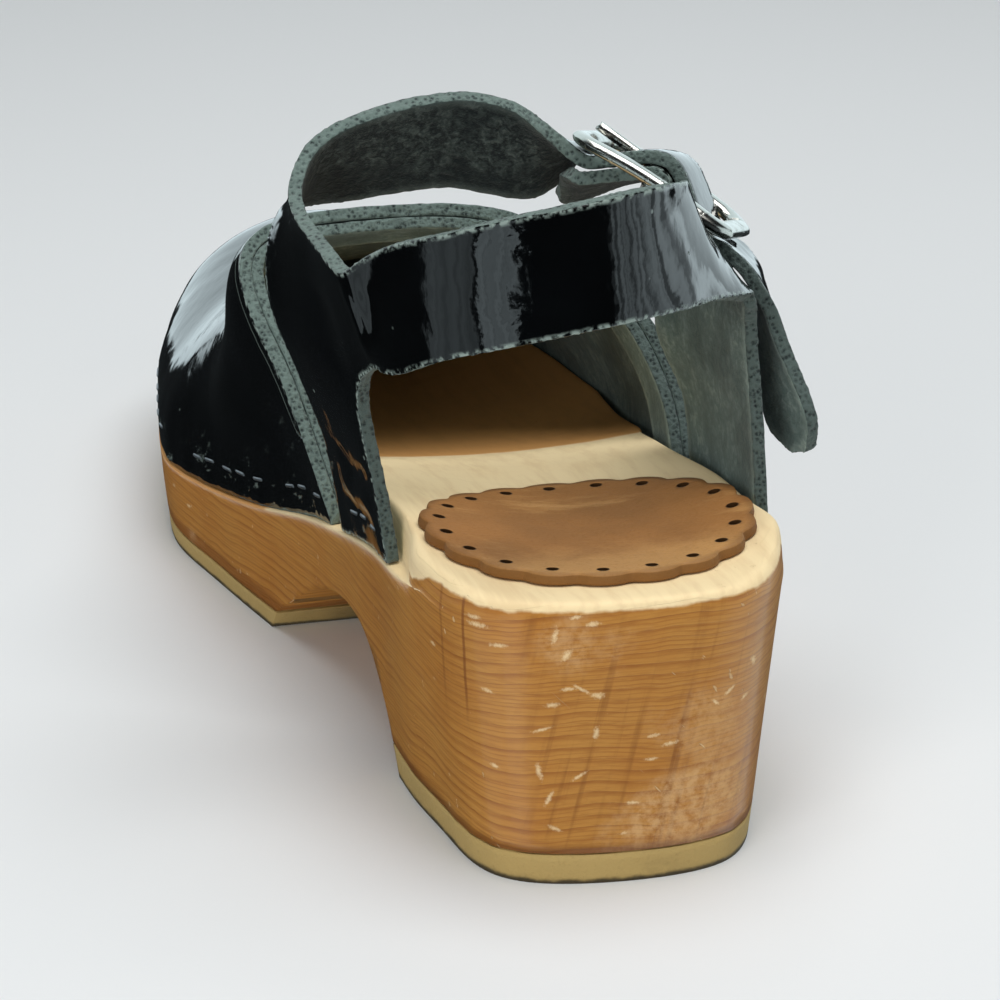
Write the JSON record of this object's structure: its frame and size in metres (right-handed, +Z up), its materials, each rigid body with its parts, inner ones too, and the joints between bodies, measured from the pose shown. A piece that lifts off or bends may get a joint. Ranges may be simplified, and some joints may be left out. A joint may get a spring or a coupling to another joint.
{
  "type": "clog sandal",
  "caption": "Right-foot clog sandal: carved wooden sole and heel, closed glossy leather toe, and a buckled ankle sling round the heel and instep.",
  "frame": {"origin": "on the floor under the middle of the heel", "axes": "+Y towards the toe, +X towards the outer side of the foot, +Z up"},
  "size_m": [0.0911, 0.2462, 0.1137],
  "materials": {
    "varnished_wood": "thin satin varnish, raw at the rim",
    "tan_rubber": "matt",
    "pad_leather": "worn vegetable tan",
    "patent_leather": "high gloss outside, suede inside",
    "flesh_leather": "suede",
    "nickel": "polished"
  },
  "bodies": {
    "root": {"wood_sole": "varnished_wood", "heel_rubber": "tan_rubber", "forefoot_rubber": "tan_rubber", "heel_pad": "pad_leather", "vamp": "patent_leather", "throat_facing": "flesh_leather", "ankle_sling": "patent_leather", "buckle_frame": "nickel", "buckle_prong": "nickel"}
  },
  "joints": []
}
